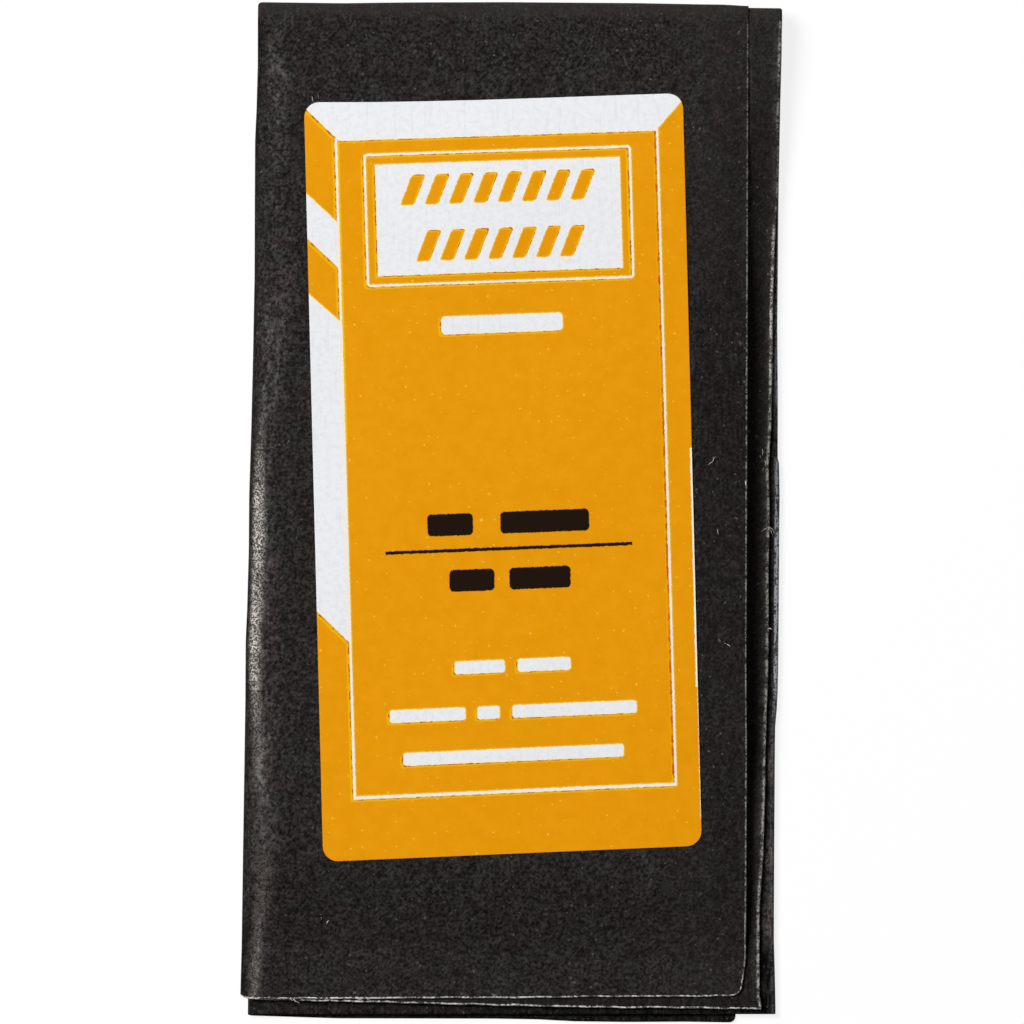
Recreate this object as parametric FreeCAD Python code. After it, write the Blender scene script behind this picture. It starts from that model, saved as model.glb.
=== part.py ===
import FreeCAD, Part
import math
import os

from FreeCAD import Vector

# A paper packet for hand needles, lying on its back with its label up.
# One sheet of black paper is folded in three along its length, round a row of needles, which
# gives a flat strip: the base, the tuck folded over it from the right, and the flap folded over
# both from the left. The strip is then folded in half across the top, with the flap outside, so
# that there are six layers of paper.
# X runs across the packet, Y along it towards the fold at the top, and Z up from the table that
# it lies on. The origin is in the middle of its outline, on the table. Sizes are in millimetres
# and angles in degrees.

# Needles, side by side in one row between the base and the tuck of the front half
needle_length = 43.0
needle_thickness = 1.1
needle_row = 27.0         # width of the row

# Room round the needles, which gives the folded strip its size
room_left = 4.2           # from the left fold to the row
room_right = 3.3          # from the row to the right fold
room_above = 12.0         # from the top fold to the needles
room_below = 9.5          # from the needles to the lower end
flat_margin = 2.4         # the last of that room, where the layers lie flat again

# Paper
paper = 0.12
layer_gap = 0.08          # air between two layers that lie on each other
back_longer = 1.2         # how much longer the back half is than the front half
tuck_over = 0.3           # how far the tuck reaches over the row and past it
flap_short_at_fold = 2.2  # how far from the right fold the flap ends, at the top fold
flap_short_at_end = 1.3   # the same at the lower end of the front half
flap_rise = 0.86          # how much shorter the flap is at its free edge than at its fold
flap_corner = 1.2
back_flap_corner = 0.6

# Folds
fold_radius = 1.1         # outside of the top fold
fold_tilt = 0.46          # how far the top fold drops towards the right, with the back half square to it
front_lean = 1.03         # how far the front half runs to the left on its way down
front_end_tilt = 1.36     # how far the lower end drops towards the right
back_flap_tilt = 0.73     # the same for the flap of the back half
flap_lift = 0.5           # how far the flap stands off the tuck, over the needles
flap_droop = 0.25         # how far it sinks again towards its free edge

# Label
label_width = 25.0
label_length = 50.0
label_thickness = 0.1
label_corner = 1.0
label_turn = 1.45         # counter-clockwise, seen from above
label_right = -0.52       # its middle, from the packet's own
label_up = 2.41

# Values that follow
half = paper / 2
pitch = paper + layer_gap
strip_width = room_left + needle_row + room_right
row_right = room_left + needle_row
needle_end = room_above + needle_length
front_length = needle_end + room_below
back_length = front_length + back_longer
flat_start = front_length - flat_margin
base_radius = fold_radius - half - pitch - pitch
base_at_fold = fold_radius + base_radius
base_at_rest = fold_radius - base_radius + pitch
back_flap_drop = (strip_width - flap_short_at_fold) * math.tan(math.radians(back_flap_tilt))
corner = Vector(
    (front_length * math.sin(math.radians(front_lean)) - strip_width) / 2,
    (back_length + back_flap_drop - fold_radius) / 2,
    0,
)
steps = 5                 # cuts across each slope of the front half
beyond = 5.0              # how far a cutting shape reaches past what it cuts
same_place = 0.001        # points closer than this are one point
up = Vector(0, 0, 1)


def across(tilt):
    """The direction to the right along a line that drops by this angle."""
    return Vector(math.cos(math.radians(tilt)), -math.sin(math.radians(tilt)), 0)


def down(lean):
    """The direction down the packet along a line that leans to the left by this angle."""
    return Vector(-math.sin(math.radians(lean)), -math.cos(math.radians(lean)), 0)


def ease(share):
    """From 0 to 1 with a level start and a level end."""
    share = min(max(share, 0), 1)
    return share * share * (3 - 2 * share)


def swell(s):
    """How far the packet is open at s along the front half: 0 where it is flat, 1 over the needles."""
    opening = ease(s / room_above)
    closing = 1 - ease((s - needle_end) / (flat_start - needle_end))
    return opening * closing


def base_height(s):
    """Middle of the base, which drops from the top fold onto the back half."""
    return base_at_fold + (base_at_rest - base_at_fold) * ease(s / room_above)


def tuck_height(s):
    return base_height(s) + pitch + (paper + needle_thickness - pitch) * swell(s)


def flap_height(s):
    """Middle of the flap, at its fold."""
    return tuck_height(s) + pitch + flap_lift * swell(s)


def free_height(s):
    """Middle of the flap, at its free edge."""
    return flap_height(s) - flap_droop * swell(s)


def flap_width(s):
    short = flap_short_at_fold + (flap_short_at_end - flap_short_at_fold) * s / front_length
    return strip_width - short


def placed(s, x, z):
    """The point x from the left fold and z above the table, at s along the front half."""
    tilt = fold_tilt + (front_end_tilt - fold_tilt) * s / front_length
    return corner + down(front_lean) * s + across(tilt) * x + up * z


def outline(s, corners):
    """A closed wire at s. Each corner is its x, its z and the way on to the next corner: a line, a
    slope with a level start and end, or the x that an arc bulges to."""
    edges = []
    for (x, z, way), (next_x, next_z, _) in zip(corners, corners[1:] + corners[:1]):
        start, end = placed(s, x, z), placed(s, next_x, next_z)
        if way == "line" or (way == "slope" and z == next_z):
            edges.append(Part.LineSegment(start, end).toShape())
        elif way == "slope":
            middle = (x + next_x) / 2
            curve = Part.BezierCurve()
            curve.setPoles([start, placed(s, middle, z), placed(s, middle, next_z), end])
            edges.append(curve.toShape())
        else:
            edges.append(Part.Arc(start, placed(s, way, (z + next_z) / 2), end).toShape())
    return Part.Wire(edges)


def paper_outline(s):
    """The sheet cut across at s: the flap, the left fold, the base, the right fold, the tuck."""
    base, tuck, flap, free = base_height(s), tuck_height(s), flap_height(s), free_height(s)
    crease = base + pitch
    left = half + (flap - base) / 2
    right = strip_width - half - pitch / 2
    tuck_left = room_left - tuck_over
    return outline(s, [
        (flap_width(s), free + half, "line"),
        (left, flap + half, 0),
        (left, base - half, "line"),
        (right, base - half, strip_width),
        (right, crease + half, "slope"),
        (row_right, tuck + half, "line"),
        (tuck_left, tuck + half, "line"),
        (tuck_left, tuck - half, "line"),
        (row_right, tuck - half, "slope"),
        (right, crease - half, strip_width - paper),
        (right, base + half, "line"),
        (left, base + half, paper),
        (left, flap - half, "line"),
        (flap_width(s), free - half, "line"),
    ])


def row_outline(s):
    """The needles at s, from the middle of the base to the middle of the tuck."""
    base, tuck = base_height(s), tuck_height(s)
    return outline(s, [
        (room_left, base, "line"),
        (row_right, base, "line"),
        (row_right, tuck, "line"),
        (room_left, tuck, "line"),
    ])


def label_outline(s):
    """A band along the flap at s, from the middle of the paper to the label's face."""
    flap, free = flap_height(s), free_height(s)
    left = half + (flap - base_height(s)) / 2
    return outline(s, [
        (flap_width(s), free + half + label_thickness, "line"),
        (left, flap + half + label_thickness, "line"),
        (left, flap, "line"),
        (flap_width(s), free, "line"),
    ])


def loft(outline_at, stations):
    """A solid with straight sides through the outlines at some places along the front half."""
    return Part.makeLoft([outline_at(s) for s in stations], True, True)


def front_stations():
    """Where the front half is cut across: closely where its height changes."""
    opening = [room_above * i / steps for i in range(steps + 1)]
    closing = [needle_end + (flat_start - needle_end) * i / steps for i in range(steps + 1)]
    return opening + closing + [front_length]


def is_over(edge, point):
    """Whether an edge stands straight over a point."""
    return all((vertex.Point - point).cross(up).Length < same_place for vertex in edge.Vertexes)


def prism(points, low, high, rounded=(), radius=0):
    """An upright block over flat points, with some of its corners rounded."""
    wire = Part.makePolygon([Vector(p.x, p.y, low) for p in points + points[:1]])
    block = Part.Face(wire).extrude(up * (high - low))
    edges = [edge for edge in block.Edges if any(is_over(edge, point) for point in rounded)]
    return block.makeFillet(radius, edges) if edges else block


def end_cutter(fold_end, free_end, edge_top, low, high, radius):
    """What is cut off a flap between two heights: all below the line from its fold to its free
    edge, and all outside that edge up to edge_top, with a rounded corner left between the two."""
    end = free_end - fold_end
    below = down(0) * beyond
    points = [
        fold_end - end, free_end, edge_top, edge_top + end,
        free_end + end + below, fold_end - end + below,
    ]
    return prism(points, low, high, [free_end], radius)


def make_front_half():
    """The folded strip over the needles, with its flap a little shorter than the layers under it."""
    edge_top = placed(flat_start, flap_width(flat_start), 0)
    edge_end = placed(front_length, flap_width(front_length), 0)
    free_end = edge_end + (edge_top - edge_end) * (flap_rise / flat_margin)
    low = flap_height(front_length) - pitch / 2
    cutter = end_cutter(placed(front_length, 0, 0), free_end, edge_top, low, low + pitch, flap_corner)
    return loft(paper_outline, front_stations()).cut(cutter)


def make_top_fold():
    """Half a turn of the section about the fold's middle line, over the top and under."""
    face = Part.Face(paper_outline(0))
    return face.revolve(corner + up * fold_radius, across(fold_tilt) * -1, 180)


def make_back_half():
    """The same section turned under, with its flap a little longer than the layers on it."""
    along, sideways = down(fold_tilt), across(fold_tilt)
    face = Part.Face(paper_outline(0))
    face.rotate(corner + up * fold_radius, sideways, 180)
    sheet = face.extrude(along * (back_length + back_flap_drop + back_flap_corner))
    fold_end = corner + along * back_length
    longer = flap_width(0) * math.tan(math.radians(back_flap_tilt - fold_tilt))
    free_end = fold_end + sideways * flap_width(0) + along * longer
    edge_top = free_end - along * beyond
    level = pitch - layer_gap / 2
    flap_cutter = end_cutter(fold_end, free_end, edge_top, -half, level, back_flap_corner)
    left = fold_end - across(0) * beyond
    right = fold_end + across(0) * (strip_width + beyond)
    below = down(0) * beyond
    inner_cutter = prism([left, right, right + below, left + below], level, fold_radius)
    return sheet.cut(flap_cutter).cut(inner_cutter)


def make_packet():
    """The folded sheet with the needles that it holds, in one piece."""
    needles = loft(row_outline, [room_above, needle_end])
    return make_front_half().fuse([make_top_fold(), make_back_half(), needles]).removeSplitter()


def make_label(packet):
    """A thin sheet with rounded corners that follows the flap it is stuck to."""
    start = Vector(label_right, label_up, 0)
    start -= across(-label_turn) * (label_width / 2) + down(-label_turn) * (label_length / 2)
    width, length = across(-label_turn) * label_width, down(-label_turn) * label_length
    corners = [start, start + length, start + length + width, start + width]
    block = prism(corners, 0, beyond, corners, label_corner)
    return loft(label_outline, front_stations()).common(block).cut(packet)


packet = make_packet()
label = make_label(packet)

os.makedirs("parts", exist_ok=True)
for name, shape in (("packet", packet), ("label", label)):
    box = shape.optimalBoundingBox()
    print(f"{name}: {len(shape.Solids)} solid, valid {shape.isValid()}, {shape.Volume:.1f} mm3,",
          f"x {box.XMin:.2f} to {box.XMax:.2f}, y {box.YMin:.2f} to {box.YMax:.2f},",
          f"z {box.ZMin:.2f} to {box.ZMax:.2f}")
    shape.Solids[0].exportStep(f"parts/{name}.step")
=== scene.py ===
# %% [markdown]
# # A folded paper packet for hand needles, with its label
# One sheet of black paper is folded in three along its length, round a row of needles, and then
# in half across the top. An orange and white label is stuck to the flap that closes the front.
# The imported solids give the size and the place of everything. Here the paper and the label get
# their real thinness, their worn folds, their cut edges and their print.

# %% The frame
import math

import bpy
import numpy as np
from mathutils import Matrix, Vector


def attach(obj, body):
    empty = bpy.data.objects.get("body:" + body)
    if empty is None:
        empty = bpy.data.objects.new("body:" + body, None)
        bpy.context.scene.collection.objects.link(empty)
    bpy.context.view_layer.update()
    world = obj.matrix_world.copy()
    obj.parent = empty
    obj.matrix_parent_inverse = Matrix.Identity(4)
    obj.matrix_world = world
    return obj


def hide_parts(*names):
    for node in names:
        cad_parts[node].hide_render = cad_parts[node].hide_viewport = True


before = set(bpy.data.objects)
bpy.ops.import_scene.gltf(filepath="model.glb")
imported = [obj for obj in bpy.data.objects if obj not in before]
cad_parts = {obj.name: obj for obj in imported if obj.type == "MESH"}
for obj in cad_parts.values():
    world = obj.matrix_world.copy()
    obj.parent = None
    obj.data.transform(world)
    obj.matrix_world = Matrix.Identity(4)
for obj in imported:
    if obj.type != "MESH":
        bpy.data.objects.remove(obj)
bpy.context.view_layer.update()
print("solids:", sorted(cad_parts))

# %% [markdown]
# ## The camera
# The packet was photographed from straight above. A long lens from 1.5 m keeps its sides upright,
# as in a product picture. The picture is square and 67.6 mm wide at the height of the folds.

# %% Camera
MM = 0.001
VIEW_WIDTH = 67.58 * MM
VIEW_HEIGHT = 1500 * MM
FOLD_LEVEL = 1.1 * MM
SENSOR = 36

lens = bpy.data.cameras.new("camera")
lens.sensor_width = SENSOR
lens.lens = SENSOR * VIEW_HEIGHT / VIEW_WIDTH
lens.clip_start, lens.clip_end = 0.01, 10
camera = bpy.data.objects.new("camera", lens)
camera.location = (0.046 * MM, -0.017 * MM, VIEW_HEIGHT + FOLD_LEVEL)
bpy.context.scene.collection.objects.link(camera)
bpy.context.scene.camera = camera
print("lens:", round(lens.lens, 1), "mm")

# %% [markdown]
# ## The folded strip, seen from its end
# The real packet is one sheet with three layers. A flat grid could be folded up by hand or with
# modifiers, but a formula keeps every layer exactly one layer's pitch from the next. Its first
# parameter u runs across the paper, from the cut edge of the flap (0), over the flap, the left
# fold (1 to 2), the base (2 to 3), the right fold (3 to 4) and the tuck, to the tuck's hidden
# edge (5). Straight stretches and half circles joined end to end give the section. Its sizes
# change slowly with s, the distance down the front half from the top fold, because the packet is
# flat at both ends and holds the needles in between. These are the same sizes as the solids
# have, so the thin sheet lies where they do.

# %% Sizes of the folded strip, in millimetres and degrees
PAPER = 0.12
HALF = PAPER / 2
PITCH = PAPER + 0.08  # from one layer to the next, with the air between them
NEEDLES = 1.1
STRIP_WIDTH, FRONT_LENGTH, BACK_LENGTH = 34.5, 64.5, 65.7
ROOM_ABOVE, NEEDLE_END, FLAT_START = 12.0, 55.0, 62.1
ROW_RIGHT, TUCK_LEFT, FLAT_FLAP = 31.2, 3.9, 30.4
FLAP_AT_FOLD, FLAP_AT_END, FLAP_WIDENS = 32.3, 33.2, 0.94
FLAP_LIFT, FLAP_DROOP, FLAP_RISE = 0.5, 0.25, 0.86
FLAP_CORNER, BACK_FLAP_CORNER = 0.7, 0.4
FOLD_RADIUS = 1.1
BASE_RADIUS = FOLD_RADIUS - HALF - 2 * PITCH
FOLD_TILT, FRONT_LEAN, FRONT_END_TILT, BACK_FLAP_TILT = np.radians([0.46, 1.03, 1.36, 0.73])
BACK_FLAP_DROP = FLAP_AT_FOLD * math.tan(BACK_FLAP_TILT)
CORNER = np.array([(FRONT_LENGTH * math.sin(FRONT_LEAN) - STRIP_WIDTH) / 2,
                   (BACK_LENGTH + BACK_FLAP_DROP - FOLD_RADIUS) / 2])
print("top left corner of the fold:", CORNER.round(2))


# %% Heights along the front half
def ease(share):
    """From 0 to 1 with level ends: three times the square less twice the cube."""
    share = np.clip(share, 0, 1)
    return share * share * (3 - 2 * share)


def swell(s):
    """How far the packet is open at s: 0 at its flat ends, 1 over the needles."""
    return ease(s / ROOM_ABOVE) * (1 - ease((s - NEEDLE_END) / (FLAT_START - NEEDLE_END)))


def base_height(s):
    """The base drops from the top fold onto the back half."""
    at_fold, at_rest = FOLD_RADIUS + BASE_RADIUS, FOLD_RADIUS - BASE_RADIUS + PITCH
    return at_fold + (at_rest - at_fold) * ease(s / ROOM_ABOVE)


def tuck_height(s):
    return base_height(s) + PITCH + (PAPER + NEEDLES - PITCH) * swell(s)


def flap_height(s):
    return tuck_height(s) + PITCH + FLAP_LIFT * swell(s)


print("flap's height at the fold and over the needles:",
      flap_height(np.array([0, ROOM_ABOVE])).round(2))

# %% [markdown]
# ## Soft outlines
# Soft paper has no straight edges. Each edge that is seen strays by some tenths of a millimetre,
# and a short table says how far at some places along it. Noise could shake the edges too, but it
# can't put a bend where the real edge has one. Straight lines from one entry to the next are
# enough at this size.

# %% Widths along the front half
FLAP_TAPER = {42: 0, 48: 0.05, 61.4: 0.04, 63.2: -0.22}
FOLD_DRAWN_IN = {0: -0.04, 3: 0, 11: 0.02, 13: 0.15, 18: 0.23, 24: 0.19, 26.5: 0.2, 29: 0.32,
                 32: 0.19, 36: 0.2, 40: 0.11, 43: 0.11, 46: 0.17, 50: 0.17, 54: 0.2, 58: 0.39,
                 62: 0.31, 63.6: 0.27, 64.5: 0.14}
LEFT_STRAY = {0: 0.05, 3: 0, 6: 0.03, 8: 0.09, 12: 0.04, 17: -0.035, 22: -0.03, 27: 0,
              31.5: 0.06, 35: 0.02, 39: 0.06, 41: 0.12, 45: 0.07, 52: 0.05, 61: 0.03, 64.5: 0.06}
PRESSED = {0: 0.07, 4: 0.17, 8: 0.42, 14: 0.42, 19: 0.04, 46: 0, 51: 0.45, 56: 0.42, 59.5: 0}
STRAY_REACH = 8
RIPPLE = 0.012


def along(places, table):
    """A value for each place, by straight lines from one entry of a table to the next."""
    return np.interp(places, list(table), list(table.values()))


def flap_width(s):
    """The flap widens slowly, and tapers again just above its rounded corner."""
    return FLAP_AT_FOLD + FLAP_WIDENS * s / FRONT_LENGTH + along(s, FLAP_TAPER)


def fold_line(s):
    """The x of the right fold's middle. The swollen packet draws it in by up to 0.4 mm."""
    return STRIP_WIDTH - HALF - PITCH / 2 - along(s, FOLD_DRAWN_IN)


def left_stray(s):
    """How far the left fold strays to the left, in mm. The paper is soft, so it isn't straight."""
    return along(s, LEFT_STRAY)


def pressed_down(x, s):
    """How much lower the flap's free edge is pressed, in mm, beyond the needles on the right."""
    return along(s, PRESSED) * ease((x - FLAT_FLAP) / (flap_width(s) - FLAT_FLAP))


def ripple(x, s):
    """A slow unevenness of the front, in mm: a sum of long waves, only where the packet is open."""
    waves = (np.sin(0.35 * s + 0.2 * x + 0.5) + np.sin(0.61 * s - 0.31 * x + 2.1)
             + np.sin(0.17 * s + 0.55 * x + 4.0))
    return RIPPLE * (waves + 3) * swell(s)


print("flap's width at the fold and near the end:", flap_width(np.array([0, 61])).round(2))


# %% The section
def section(u, s):
    """x and z of the point u of the strip's section at s: straight runs, and half circles of
    radius (flap - base) / 2 on the left and PITCH / 2 on the right."""
    base, tuck, flap = base_height(s), tuck_height(s), flap_height(s)
    free = flap - FLAP_DROOP * swell(s)
    round_left, round_right = (flap - base) / 2, PITCH / 2
    left, right, width = HALF + round_left, fold_line(s), flap_width(s)
    turn_left, turn_right = np.pi * (u - 1), np.pi * (u - 3)
    flap_x = width + (left - width) * u
    tuck_x = right + (TUCK_LEFT - right) * (u - 4)
    slope = ease((right - tuck_x) / (right - ROW_RIGHT))
    part = np.clip(np.floor(u), 0, 4).astype(int)
    x = np.choose(part, [
        flap_x,
        left - round_left * np.sin(turn_left),
        left + (right - left) * (u - 2),
        right + round_right * np.sin(turn_right),
        tuck_x,
    ])
    z = np.choose(part, [
        free + (flap - free) * u - pressed_down(flap_x, s),
        (flap + base) / 2 + round_left * np.cos(turn_left),
        base + 0 * u,
        base + round_right * (1 - np.cos(turn_right)),
        base + PITCH + (tuck - base - PITCH) * slope,
    ])
    return x - left_stray(s) * np.clip(1 - x / STRAY_REACH, 0, 1), z + ripple(x, s)


# %% [markdown]
# ## The sheet along the packet
# The second parameter v runs along the paper: up the front half (0 to 1), half a turn over the
# top fold (1 to 2), and down the back half (2 to 3). A section carried along this path is simpler
# than a bent mesh, and the layers nest in the top fold of their own accord. Each layer has its
# own cut end: the flap ends a little higher on the right, with a rounded corner.

# %% Cut ends
FRONT_FLAP_END = {0: 0.15, 17: 0.13, 24: 0.07, 33: 0.05}
FRONT_TUCK_END = {0: 0.14, 22: 0.14, 26: 0.09, 31: 0}
SLANTED_CUT = {0: 0.26, 0.18: 0.13, 0.5: 0.03, 0.9: 0}
BACK_FLAP_END = {0: 0.05, 5.7: 0.16, 16: 0.05, 19: 0.06, 21.5: 0.16, 25: 0.16, 29: 0.09, 32: 0.1}
FLAP_MM, TUCK_MM = 32, 30  # how long a step of 1 in u is, on the flap and on the tuck


def rounded(u, radius):
    """How much a rounded corner takes off at u, near the flap's free edge: a quarter circle."""
    inside = np.clip(radius - u * FLAP_MM, 0, radius)
    return radius - np.sqrt(radius ** 2 - inside ** 2)


def uneven(x, phase):
    """How a cut edge wavers, in mm: a sum of waves from 3 to 0.7 mm long."""
    return (0.020 * np.sin(2.1 * x + phase) + 0.014 * np.sin(4.7 * x + 2.3 * phase)
            + 0.012 * np.sin(9.3 * x + 3.1 * phase))


def front_end(u, x):
    """How far the front half reaches at u. The flap rises to the right, and the left fold's end
    is cut off slanting."""
    flap = FRONT_LENGTH + along(x, FRONT_FLAP_END) - FLAP_RISE * x / FLAP_AT_END
    flap += uneven(x, 1) - rounded(u, FLAP_CORNER)
    tuck = FRONT_LENGTH + 0.03 + along(x, FRONT_TUCK_END) + uneven(x, 4)
    on_flap = ease(2 - u)
    return flap * on_flap + tuck * (1 - on_flap) - along(x, SLANTED_CUT)


def back_end(u, x):
    """How far the back half reaches at u."""
    flap = BACK_LENGTH + x * math.tan(BACK_FLAP_TILT - FOLD_TILT) - rounded(u, BACK_FLAP_CORNER)
    flap += along(x, BACK_FLAP_END)
    inner = BACK_LENGTH - 0.05 - x * math.tan(FOLD_TILT)
    on_flap = ease(2 - u)
    return flap * on_flap + inner * (1 - on_flap)


# %% The back half and the top fold
BACK_FOLD_STRAY = {0: 0, 2: 0, 5: -0.06, 11: -0.13, 20: -0.145, 25: -0.065, 28.7: -0.05,
                   29.0: 0.04, 31: 0.1, 33: 0.09, 38: 0.1, 42: 0.1, 44: 0.08, 45: 0.05,
                   46.3: -0.07, 47: -0.08, 54: -0.07, 60.5: -0.045, 62.5: 0.03, 65: 0.1}
TOP_BULGE = {0: 0.03, 5.5: 0, 8.2: 0.06, 10.8: 0.105, 13.5: 0.13, 16.1: 0.16, 25: 0.165,
             29: 0.12, 35: 0.1}


def back_stray(u, t):
    """How far the back half strays to the right, t below the top fold: its right fold, which has
    a small kink where the sheet was bent, and towards the end its left fold and its flap."""
    near_end = np.clip((t - 55) / 10, 0, 1)
    left = -0.15 * near_end * np.clip(1 - np.abs(u - 1.5) / 0.8, 0, 1)
    free = -0.32 * near_end * np.clip(1 - u, 0, 1) ** 2
    return along(t, BACK_FOLD_STRAY) * np.clip(np.minimum(u - 2, 5 - u), 0, 1) + left + free


def across(tilt):
    return np.stack([np.cos(tilt), -np.sin(tilt)], axis=-1)


def down(lean):
    return np.stack([-np.sin(lean), -np.cos(lean)], axis=-1)


def on_front(x, s, z):
    """The place in the frame of x from the left fold, s from the top fold, and height z."""
    tilt = FOLD_TILT + (FRONT_END_TILT - FOLD_TILT) * s / FRONT_LENGTH
    flat = CORNER + down(FRONT_LEAN) * s[..., None] + across(tilt) * x[..., None]
    return np.concatenate([flat, z[..., None]], axis=-1)


def sheet(u, v):
    """The middle of the paper at u across it and v along it, in millimetres: the section on the
    front half, turned by half a circle about the fold's middle line, and run down the back."""
    x_end, _ = section(u, np.full_like(u, FRONT_LENGTH))
    front_s = front_end(u, x_end) * (1 - np.clip(v, 0, 1))
    x, z = section(u, front_s)
    front = on_front(x, front_s, z)
    x_fold, z_fold = section(u, np.zeros_like(u))
    turn = np.pi * (np.clip(v, 1, 2) - 1)
    out = z_fold - FOLD_RADIUS
    t = back_end(u, x_fold) * (np.clip(v, 2, 3) - 2)
    start = CORNER + across(FOLD_TILT) * (x_fold + back_stray(u, t))[..., None]
    run = t - (out + along(x_fold, TOP_BULGE)) * np.sin(turn)
    rest = np.concatenate([start + down(FOLD_TILT) * run[..., None],
                           (FOLD_RADIUS + out * np.cos(turn))[..., None]], axis=-1)
    return np.where((v <= 1)[..., None], front, rest)


# %% [markdown]
# ## From a surface to a sheet of paper
# Paper has a thickness. The surface is moved out and in by half of it along its own normal, and a
# rim closes the four cut edges. A Solidify modifier could do this too, but then the rim and the
# wear could not be told apart in the finish.

# %% A closed sheet
def closed_sheet(middle, half, bulge):
    """Vertices and faces of a sheet, and the loop round its edge: the middle surface moved by
    half its thickness to both sides, joined by a rim of two strips that bulges a little."""
    rows, columns = middle.shape[:2]
    count = rows * columns
    normal = np.cross(np.gradient(middle, axis=0), np.gradient(middle, axis=1))
    normal /= np.linalg.norm(normal, axis=-1, keepdims=True)
    grid = np.arange(count).reshape(rows, columns)
    a, b, c, d = grid[:-1, :-1], grid[:-1, 1:], grid[1:, 1:], grid[1:, :-1]
    outer = np.stack([a, d, c, b], axis=-1).reshape(-1, 4)
    inner = np.stack([a, b, c, d], axis=-1).reshape(-1, 4) + count
    loop = np.concatenate([grid[0, :-1], grid[:-1, -1], grid[-1, :0:-1], grid[:0:-1, 0]])
    flat, side = middle.reshape(-1, 3), normal.reshape(-1, 3)
    ahead = flat[np.roll(loop, -1)] - flat[np.roll(loop, 1)]
    outward = np.cross(ahead, side[loop])
    outward /= -np.linalg.norm(outward, axis=-1, keepdims=True)
    if np.einsum("ij,ij->i", outward, flat[loop] - flat.mean(axis=0)).sum() < 0:
        outward = -outward
    rim = flat[loop] + outward * bulge
    vertices = np.concatenate([flat + side * half, flat - side * half, rim])
    ring = np.arange(len(loop)) + 2 * count
    after, ring_after = np.roll(loop, -1), np.roll(ring, -1)
    upper = np.stack([loop, after, ring_after, ring], axis=-1)
    lower = np.stack([ring, ring_after, after + count, loop + count], axis=-1)
    return vertices, np.concatenate([outer, inner, upper, lower]), loop


def piece(name, vertices, faces, uv=None):
    """A smooth mesh object in metres, made of points in millimetres."""
    mesh = bpy.data.meshes.new(name)
    mesh.from_pydata((vertices * MM).tolist(), [], faces)
    if uv is not None:
        corners = np.empty(len(mesh.loops), dtype=np.int32)
        mesh.loops.foreach_get("vertex_index", corners)
        per_corner = uv[corners].astype(np.float32).ravel()
        mesh.uv_layers.new(name="print").data.foreach_set("uv", per_corner)
    mesh.shade_smooth()
    made = bpy.data.objects.new(name, mesh)
    bpy.context.scene.collection.objects.link(made)
    print(f"{name}: {len(vertices)} vertices, {sum(len(face) - 2 for face in faces)} triangles,",
          "from", vertices.min(axis=0).round(2), "to", vertices.max(axis=0).round(2))
    return made


# %% [markdown]
# ## The grid over the paper
# An even grid would waste its points on the flat middle. These lie closer together towards the
# cut edges and the folds, where the sheet bends and its wear changes quickly. A few more lines
# stand where the wear starts sharply: beside the back half's right fold, on the tuck beside the
# flap's edge, and at the kink of the back half.

# %% The grid over the paper
def bunched(start, end, count, power):
    """Numbers that lie closer together at both ends, for a power above 1."""
    share = np.linspace(-1, 1, count + 1)
    bent = np.sign(share) * (1 - (1 - np.abs(share)) ** power)
    return start + (end - start) * (bent + 1) / 2


u_line = np.unique(np.concatenate([
    bunched(0, 1, 44, 2), np.linspace(1, 2, 15), bunched(2, 3, 22, 1.5), np.linspace(2.99, 3, 5),
    np.linspace(3, 4, 9), np.linspace(4.045, 4.075, 7), bunched(4, 5, 50, 1.6)]).round(6))
v_line = np.unique(np.concatenate([
    bunched(0, 1, 150, 1.5), np.linspace(1, 2, 17), bunched(2, 3, 72, 1.5),
    np.linspace(2.434, 2.444, 6)]).round(6))
v_grid, u_grid = np.meshgrid(v_line, u_line, indexing="ij")
vertices, faces, paper_loop = closed_sheet(sheet(u_grid, v_grid), HALF, HALF * 0.5)
packet_paper = piece("packet_paper", vertices, faces.tolist())

# %% [markdown]
# ## The label
# The label is a sheet of paper too, with round corners, stuck down all over, so it takes the
# shape of the flap under it. A flat plane with a Shrinkwrap modifier would follow it as well,
# but the flap's own formula gives its height exactly. Its UV map holds millimetres from its own
# top left corner, so the print can be drawn in them.

# %% Places on the flap
def front_place(flat):
    """x and s of a point of the frame, by three rounds of on_front turned about."""
    away = flat - CORNER
    x, s = away[..., 0], -away[..., 1]
    for _ in range(3):
        tilt = FOLD_TILT + (FRONT_END_TILT - FOLD_TILT) * s / FRONT_LENGTH
        s = (-away[..., 1] - x * np.sin(tilt)) / math.cos(FRONT_LEAN)
        x = (away[..., 0] + s * math.sin(FRONT_LEAN)) / np.cos(tilt)
    return x, s


def flap_top(x, s):
    """Height of the flap's upper face."""
    base, flap = base_height(s), flap_height(s)
    left = HALF + (flap - base) / 2
    share = (flap_width(s) - x) / (flap_width(s) - left)
    droop = FLAP_DROOP * swell(s) * (1 - share)
    return flap - droop - pressed_down(x, s) + ripple(x, s) + HALF


# %% Label
LABEL_WIDTH, LABEL_LENGTH, LABEL_PAPER, LABEL_CORNER = 25.0, 50.0, 0.1, 1.0
LABEL_TURN = math.radians(1.45)
LABEL_MIDDLE = np.array([-0.52, 2.41])
LABEL_NARROWER, LABEL_TO_LEFT, LABEL_RIM = 0.019, 0.025, 0.02
TOP_EDGE_LOWER = {-12.5: 0.10, -8: 0.21, -4.5: 0.24, -1: 0.245, 3: 0.214, 9: 0.155, 12.5: 0.13}

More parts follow.
